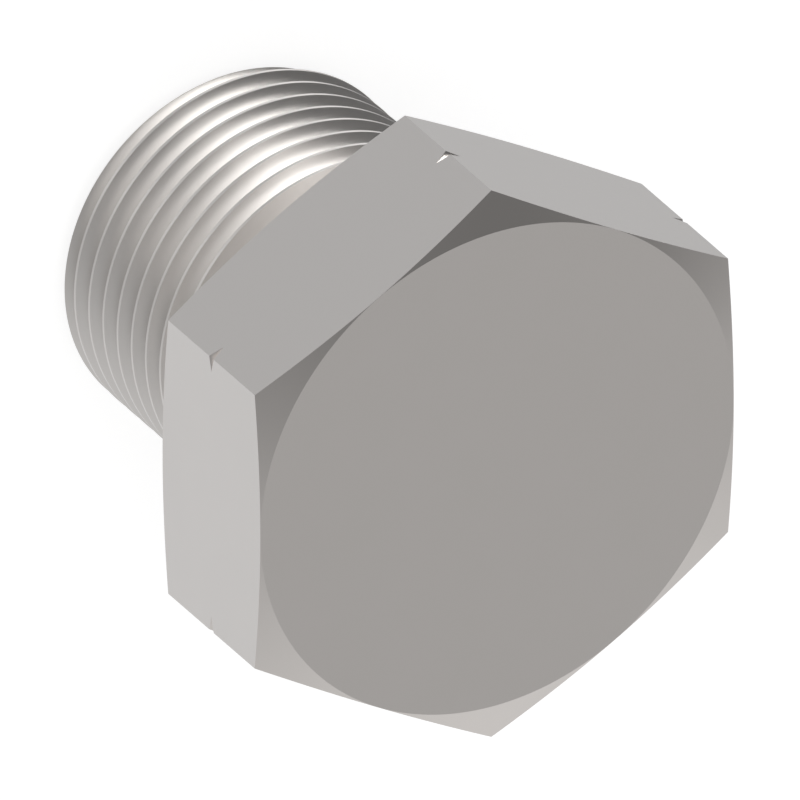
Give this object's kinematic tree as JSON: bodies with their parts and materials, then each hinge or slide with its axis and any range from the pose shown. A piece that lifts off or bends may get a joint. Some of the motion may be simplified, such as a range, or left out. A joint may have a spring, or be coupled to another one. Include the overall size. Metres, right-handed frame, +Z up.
{
  "type": "face seal plug",
  "caption": "Hexagon head plug with a threaded shank, a smooth neck and a rubber ring in its end face, which closes a face seal fitting.",
  "frame": {"origin": "centre of the base, on the surface that the plug stands on, where the sealing ring touches it", "axes": "+Z up along the plug's axis, from the sealing end to the hexagon's outer face; a corner of the hexagon lies on +Y and on -Y, and a flat faces +X and -X"},
  "size_m": [0.035, 0.0404, 0.0354],
  "materials": {
    "steel": "turned stainless steel, fine satin",
    "seal_rubber": "moulded nitrile rubber, matt"
  },
  "bodies": {
    "root": {"plug_body": "steel", "sealing_ring": "seal_rubber"}
  },
  "joints": []
}
